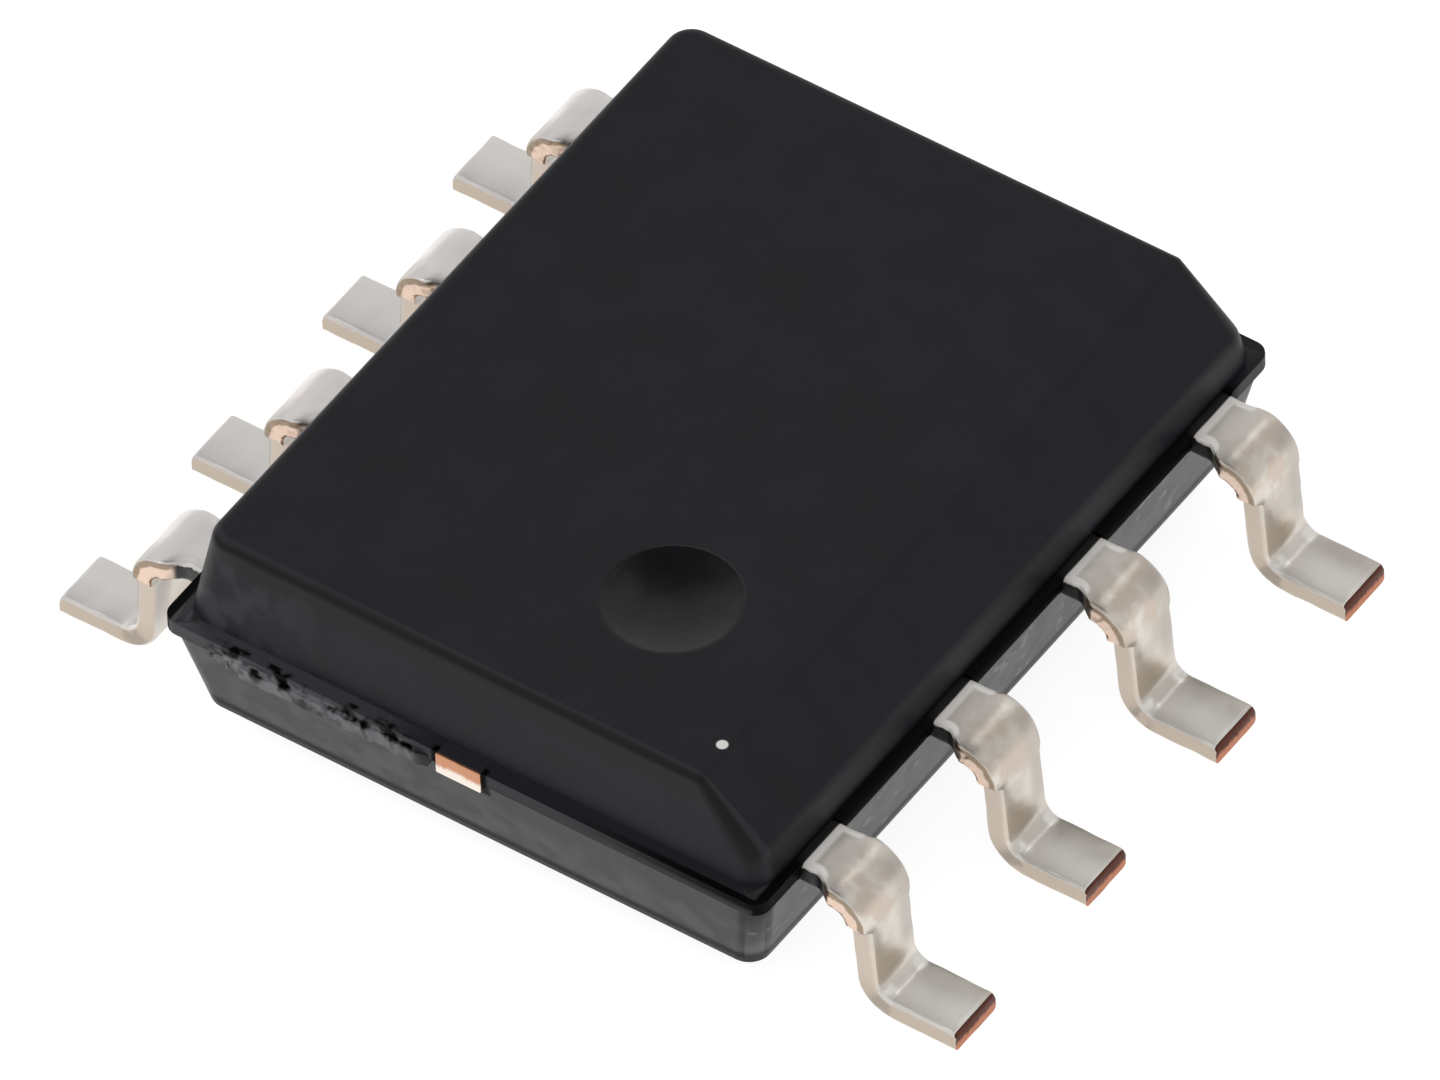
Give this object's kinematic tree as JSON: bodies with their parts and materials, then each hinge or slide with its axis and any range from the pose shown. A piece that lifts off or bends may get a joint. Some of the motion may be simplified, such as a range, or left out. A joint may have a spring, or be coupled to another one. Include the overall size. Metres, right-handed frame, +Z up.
{
  "type": "voltage regulator",
  "caption": "Surface-mount voltage regulator in a small-outline moulded package with gull-wing leads, with its die pad, die and bond wires inside.",
  "frame": {"origin": "on the board surface, under the middle of the body", "axes": "+X across the lead rows towards leads 1 to 4, +Y along the body away from the lead 1 end, +Z up from the board"},
  "size_m": [0.006, 0.005, 0.0016],
  "materials": {
    "mould_compound": "fine matte moulded epoxy, near black",
    "tinned_lead": "matte tin plating over stamped copper",
    "bare_copper": "bare sheared copper alloy",
    "die_attach_epoxy": "silver-filled epoxy",
    "silicon": "polished silicon with a passivated face",
    "bond_wire": "drawn gold wire"
  },
  "bodies": {
    "root": {"moulded_body": "mould_compound", "lead_1": "tinned_lead", "lead_2": "tinned_lead", "lead_3": "tinned_lead", "lead_4": "tinned_lead", "lead_5": "tinned_lead", "lead_6": "tinned_lead", "lead_7": "tinned_lead", "lead_8": "tinned_lead", "die_pad": "bare_copper", "die_attach": "die_attach_epoxy", "die": "silicon", "bond_wire_1": "bond_wire", "bond_wire_2": "bond_wire", "bond_wire_3": "bond_wire", "bond_wire_4": "bond_wire", "bond_wire_5": "bond_wire", "bond_wire_6": "bond_wire", "bond_wire_7": "bond_wire", "bond_wire_8": "bond_wire"}
  },
  "joints": []
}
